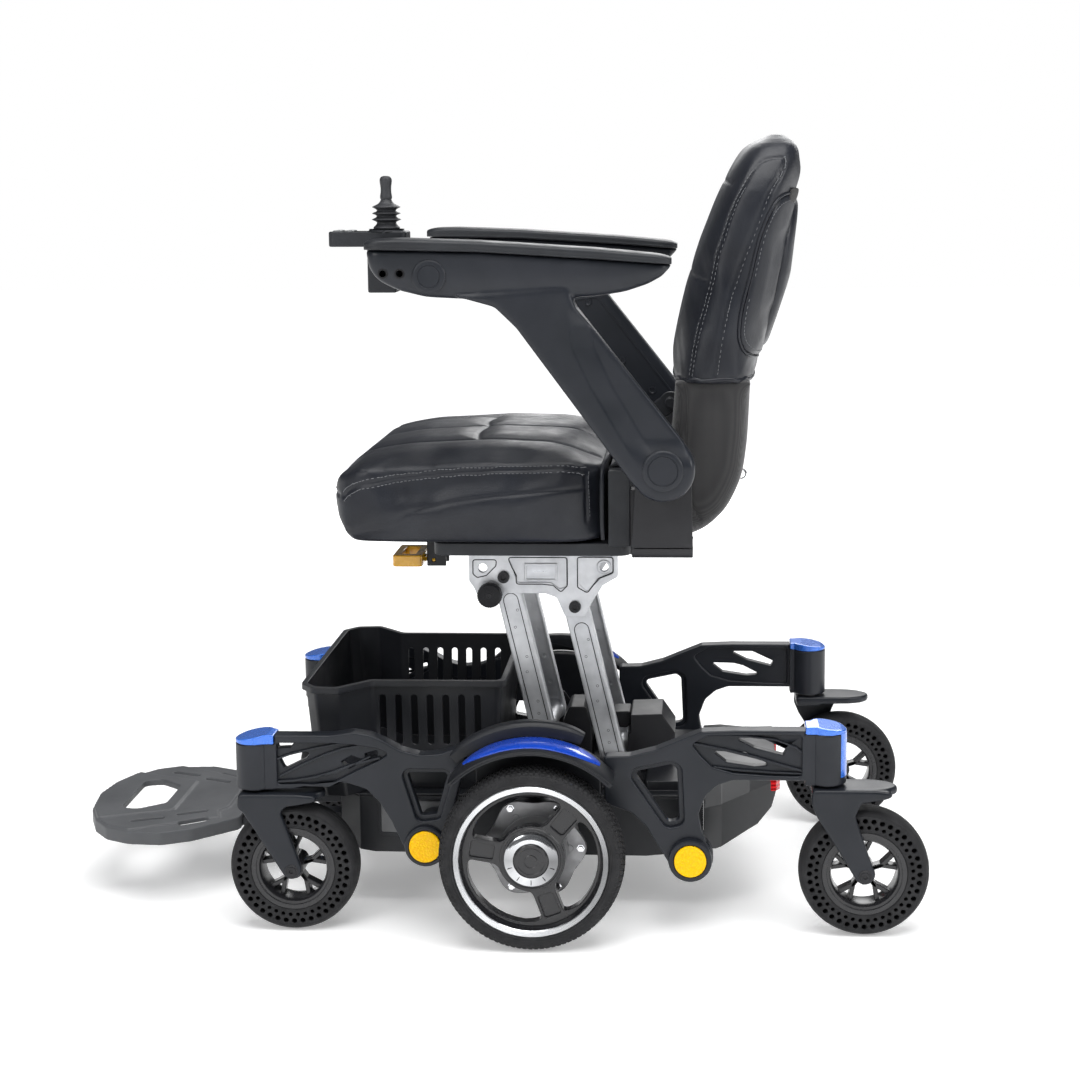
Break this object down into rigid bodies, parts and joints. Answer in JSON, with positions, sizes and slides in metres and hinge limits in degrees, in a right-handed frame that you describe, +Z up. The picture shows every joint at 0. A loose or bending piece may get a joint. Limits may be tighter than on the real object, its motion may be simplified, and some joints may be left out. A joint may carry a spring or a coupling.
{
  "type": "power wheelchair",
  "caption": "Mid-wheel-drive power wheelchair: lifting swivel seat on parallel struts, flip-up armrests with joystick, folding back, footplate, basket and swivel casters.",
  "frame": {"origin": "centre of the overall box in plan, at floor level", "axes": "+Z up, front faces -Y, the user's left is +X"},
  "size_m": [0.634, 1.2327, 1.1055],
  "materials": {
    "frame_plastic": "fine satin texture",
    "shroud": "satin metallic grey",
    "arm_casting": "black satin powder coat",
    "blue_gloss": "gloss",
    "reflector": "prismatic reflector",
    "tail_red": "clear red",
    "battery": "matte",
    "motor": "satin grey",
    "cast_silver": "satin cast",
    "black_steel": "satin black",
    "leather": "grained vinyl",
    "shell_fabric": "woven",
    "soft_plastic": "soft-touch",
    "rubber": "matte",
    "amber": "satin amber",
    "tyre": "matte",
    "rim": "gloss black with a silver ring",
    "chrome": "mirror",
    "button_grey": "matte"
  },
  "bodies": {
    "base": {"chassis_tub": "frame_plastic", "chassis_cover": "frame_plastic", "rear_shroud": "shroud", "tail_lights": "tail_red", "batteries": "battery", "gearmotors": "motor", "rear_arm_left": "arm_casting", "rear_arm_right": "arm_casting", "rear_reflectors": "reflector", "fenders": "frame_plastic", "blue_trims": "blue_gloss", "basket": "frame_plastic", "lift_base": "black_steel", "lift_gearmotor": "motor"},
    "front_arm_left": {"front_arm_left": "arm_casting", "front_cap_left": "blue_gloss", "front_reflector_left": "reflector"},
    "front_arm_right": {"front_arm_right": "arm_casting", "front_cap_right": "blue_gloss", "front_reflector_right": "reflector"},
    "front_struts": {"front_struts": "cast_silver"},
    "rear_struts": {"rear_struts": "cast_silver"},
    "carriage": {"carriage": "cast_silver", "carriage_bolts": "black_steel"},
    "pull_knob": {"pull_knob": "soft_plastic"},
    "seat": {"swivel_plate": "black_steel", "seat_frame": "soft_plastic", "seat_cushion": "leather", "arm_brackets": "black_steel"},
    "seat_lever": {"seat_lever": "amber"},
    "back": {"back_shell": "shell_fabric", "back_cushion": "leather", "back_pocket": "leather"},
    "arm_left": {"arm_left": "soft_plastic", "arm_pad_left": "rubber", "joystick_pod": "soft_plastic"},
    "arm_right": {"arm_right": "soft_plastic", "arm_pad_right": "rubber"},
    "joystick_gimbal": {"joystick_gimbal": "motor"},
    "joystick": {"joystick_stick": "rubber", "joystick_boot": "rubber"},
    "button_power": {"button_power": "button_grey"},
    "button_horn": {"button_horn": "button_grey"},
    "button_faster": {"button_faster": "button_grey"},
    "button_slower": {"button_slower": "button_grey"},
    "footplate": {"footplate": "frame_plastic"},
    "fork_front_left": {"fork_front_left": "arm_casting"},
    "caster_front_left": {"caster_front_left": "tyre"},
    "fork_front_right": {"fork_front_right": "arm_casting"},
    "caster_front_right": {"caster_front_right": "tyre"},
    "fork_rear_left": {"fork_rear_left": "arm_casting"},
    "caster_rear_left": {"caster_rear_left": "tyre"},
    "fork_rear_right": {"fork_rear_right": "arm_casting"},
    "caster_rear_right": {"caster_rear_right": "tyre"},
    "drive_left": {"drive_tyre_left": "tyre", "drive_rim_left": "rim", "hub_cap_left": "chrome"},
    "drive_right": {"drive_tyre_right": "tyre", "drive_rim_right": "rim", "hub_cap_right": "chrome"}
  },
  "joints": [
    {"name": "seat_lift", "type": "hinge", "parent": "base", "child": "front_struts", "pos_m": [0, 0.07674, 0.22841], "axis": [-1, 0, 0], "range_deg": [0, 60]},
    {"name": "rear_strut_swing", "type": "hinge", "parent": "base", "child": "rear_struts", "pos_m": [0, 0.17874, 0.18541], "axis": [-1, 0, 0], "range_deg": [0, 60]},
    {"name": "carriage_level", "type": "hinge", "parent": "front_struts", "child": "carriage", "pos_m": [0, 0.0205, 0.472], "axis": [-1, 0, 0], "range_deg": [-60, 0]},
    {"name": "knob_pull", "type": "slide", "parent": "carriage", "child": "pull_knob", "axis": [1, 0, 0], "range_m": [0, 0.006], "stiffness_N_per_m": 1500, "springref_m": -0.004},
    {"name": "seat_swivel", "type": "hinge", "parent": "carriage", "child": "seat", "pos_m": [0, 0.0745, 0.507], "axis": [0, 0, 1], "range_deg": [-90, 90]},
    {"name": "lever_lift", "type": "hinge", "parent": "seat", "child": "seat_lever", "pos_m": [0, -0.0915, 0.48], "axis": [-1, 0, 0], "range_deg": [0, 14], "stiffness_Nm_per_rad": 1, "springref_deg": -34.38},
    {"name": "back_fold", "type": "hinge", "parent": "seat", "child": "back", "pos_m": [0, 0.2545, 0.688], "axis": [1, 0, 0], "range_deg": [0, 90]},
    {"name": "arm_left_flip", "type": "hinge", "parent": "seat", "child": "arm_left", "pos_m": [0.28, 0.2535, 0.657], "axis": [-1, 0, 0], "range_deg": [0, 90]},
    {"name": "arm_right_flip", "type": "hinge", "parent": "seat", "child": "arm_right", "pos_m": [-0.28, 0.2535, 0.657], "axis": [-1, 0, 0], "range_deg": [0, 90]},
    {"name": "joystick_fore_aft", "type": "hinge", "parent": "arm_left", "child": "joystick_gimbal", "pos_m": [0.2255, -0.1155, 0.962], "axis": [1, 0, 0], "range_deg": [-18, 18], "stiffness_Nm_per_rad": 0.5},
    {"name": "joystick_sideways", "type": "hinge", "parent": "joystick_gimbal", "child": "joystick", "pos_m": [0.2255, -0.1155, 0.962], "axis": [0, 1, 0], "range_deg": [-18, 18], "stiffness_Nm_per_rad": 0.5},
    {"name": "power_press", "type": "slide", "parent": "arm_left", "child": "button_power", "axis": [0, 0, -1], "range_m": [0, 0.0015], "stiffness_N_per_m": 300, "springref_m": -0.001},
    {"name": "horn_press", "type": "slide", "parent": "arm_left", "child": "button_horn", "axis": [0, 0, -1], "range_m": [0, 0.0015], "stiffness_N_per_m": 300, "springref_m": -0.001},
    {"name": "faster_press", "type": "slide", "parent": "arm_left", "child": "button_faster", "axis": [0, 0, -1], "range_m": [0, 0.0015], "stiffness_N_per_m": 300, "springref_m": -0.001},
    {"name": "slower_press", "type": "slide", "parent": "arm_left", "child": "button_slower", "axis": [0, 0, -1], "range_m": [0, 0.0015], "stiffness_N_per_m": 300, "springref_m": -0.001},
    {"name": "footplate_flip", "type": "hinge", "parent": "base", "child": "footplate", "pos_m": [0, -0.3655, 0.095], "axis": [-1, 0, 0], "range_deg": [0, 85]},
    {"name": "front_arm_left_swing", "type": "hinge", "parent": "base", "child": "front_arm_left", "pos_m": [0.236, -0.0765, 0.126], "axis": [1, 0, 0], "range_deg": [-5, 0], "stiffness_Nm_per_rad": 400, "springref_deg": 11.46},
    {"name": "front_arm_right_swing", "type": "hinge", "parent": "base", "child": "front_arm_right", "pos_m": [-0.236, -0.0765, 0.126], "axis": [1, 0, 0], "range_deg": [-5, 0], "stiffness_Nm_per_rad": 400, "springref_deg": 11.46},
    {"name": "front_left_swivel", "type": "hinge", "parent": "front_arm_left", "child": "fork_front_left", "pos_m": [0.228, -0.3145, 0.23], "axis": [0, 0, 1], "continuous": true},
    {"name": "front_left_roll", "type": "hinge", "parent": "fork_front_left", "child": "caster_front_left", "pos_m": [0.228, -0.2625, 0.09], "axis": [1, 0, 0], "continuous": true},
    {"name": "front_right_swivel", "type": "hinge", "parent": "front_arm_right", "child": "fork_front_right", "pos_m": [-0.228, -0.3145, 0.23], "axis": [0, 0, 1], "continuous": true},
    {"name": "front_right_roll", "type": "hinge", "parent": "fork_front_right", "child": "caster_front_right", "pos_m": [-0.228, -0.2625, 0.09], "axis": [1, 0, 0], "continuous": true},
    {"name": "rear_left_swivel", "type": "hinge", "parent": "base", "child": "fork_rear_left", "pos_m": [0.228, 0.4755, 0.23], "axis": [0, 0, 1], "continuous": true},
    {"name": "rear_left_roll", "type": "hinge", "parent": "fork_rear_left", "child": "caster_rear_left", "pos_m": [0.228, 0.5275, 0.09], "axis": [1, 0, 0], "continuous": true},
    {"name": "rear_right_swivel", "type": "hinge", "parent": "base", "child": "fork_rear_right", "pos_m": [-0.228, 0.4755, 0.23], "axis": [0, 0, 1], "continuous": true},
    {"name": "rear_right_roll", "type": "hinge", "parent": "fork_rear_right", "child": "caster_rear_right", "pos_m": [-0.228, 0.5275, 0.09], "axis": [1, 0, 0], "continuous": true},
    {"name": "drive_left_roll", "type": "hinge", "parent": "base", "child": "drive_left", "pos_m": [0.292, 0.0745, 0.127], "axis": [1, 0, 0], "continuous": true},
    {"name": "drive_right_roll", "type": "hinge", "parent": "base", "child": "drive_right", "pos_m": [-0.292, 0.0745, 0.127], "axis": [1, 0, 0], "continuous": true}
  ],
  "couplings": [
    {"joint": "rear_strut_swing", "follows": "seat_lift", "ratio": 1},
    {"joint": "carriage_level", "follows": "seat_lift", "ratio": -1}
  ]
}
